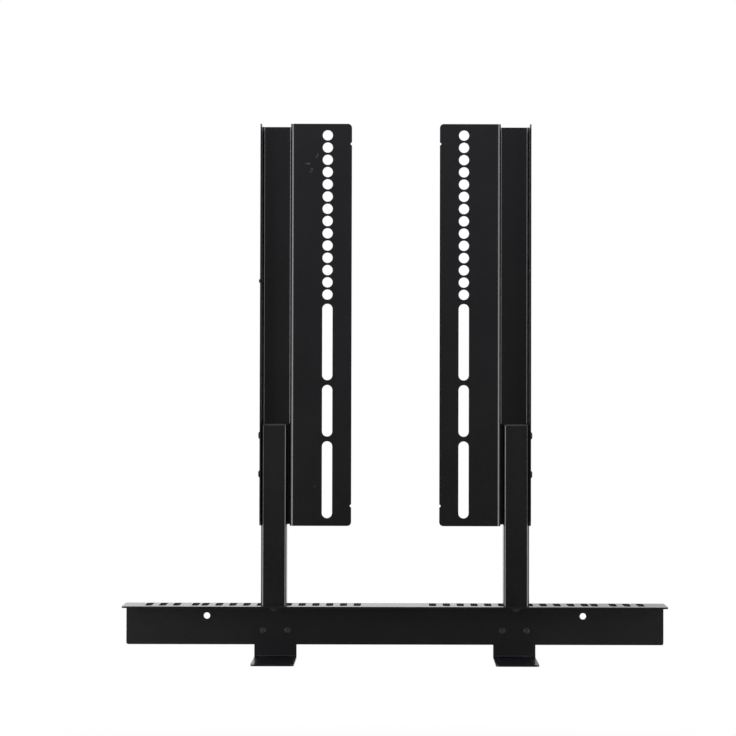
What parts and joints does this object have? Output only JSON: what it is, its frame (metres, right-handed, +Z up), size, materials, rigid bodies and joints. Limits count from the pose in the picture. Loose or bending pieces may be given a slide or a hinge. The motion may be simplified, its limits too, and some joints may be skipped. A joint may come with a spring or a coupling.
{
  "type": "soundbar bracket",
  "caption": "Steel bracket whose slotted arms bolt to the back of a flat screen and carry a slotted rail on square posts below it, with lips for a soundbar to rest on.",
  "frame": {"origin": "centre of the bolt pattern on the plane where the arms' flanges meet the screen's back", "axes": "+X along the rail, +Y away from the screen towards the wall, +Z up"},
  "size_m": [0.8, 0.1105, 0.791],
  "materials": {
    "arm_coating": "fine satin black powder coat",
    "post_coating": "satin black powder coat",
    "rail_coating": "satin black powder coat",
    "support_coating": "satin black powder coat",
    "cap_plastic": "matte black moulded plastic",
    "black_hardware": "black plated steel",
    "zinc_plate": "zinc plated steel"
  },
  "bodies": {
    "root": {"left_arm": "arm_coating", "left_arm_stud": "black_hardware", "left_front_foot_bolt": "black_hardware", "left_front_foot_washer": "black_hardware", "left_inner_support_nut": "black_hardware", "left_inner_support_screw": "black_hardware", "left_inner_support_washer": "black_hardware", "left_lower_side_nut": "zinc_plate", "left_lower_side_screw": "black_hardware", "left_lower_side_washer": "black_hardware", "left_outer_support_nut": "black_hardware", "left_outer_support_screw": "black_hardware", "left_outer_support_washer": "black_hardware", "left_post": "post_coating", "left_post_cap": "cap_plastic", "left_post_foot": "zinc_plate", "left_rear_foot_bolt": "black_hardware", "left_rear_foot_washer": "black_hardware", "left_support": "support_coating", "left_upper_side_nut": "zinc_plate", "left_upper_side_screw": "black_hardware", "left_upper_side_washer": "black_hardware", "rail": "rail_coating", "right_arm": "arm_coating", "right_front_foot_bolt": "black_hardware", "right_front_foot_washer": "black_hardware", "right_inner_support_nut": "black_hardware", "right_inner_support_screw": "black_hardware", "right_inner_support_washer": "black_hardware", "right_lower_side_nut": "zinc_plate", "right_lower_side_screw": "black_hardware", "right_lower_side_washer": "black_hardware", "right_outer_support_nut": "black_hardware", "right_outer_support_screw": "black_hardware", "right_outer_support_washer": "black_hardware", "right_post": "post_coating", "right_post_cap": "cap_plastic", "right_post_foot": "zinc_plate", "right_rear_foot_bolt": "black_hardware", "right_rear_foot_washer": "black_hardware", "right_support": "support_coating", "right_upper_side_nut": "zinc_plate", "right_upper_side_screw": "black_hardware", "right_upper_side_washer": "black_hardware"}
  },
  "joints": []
}
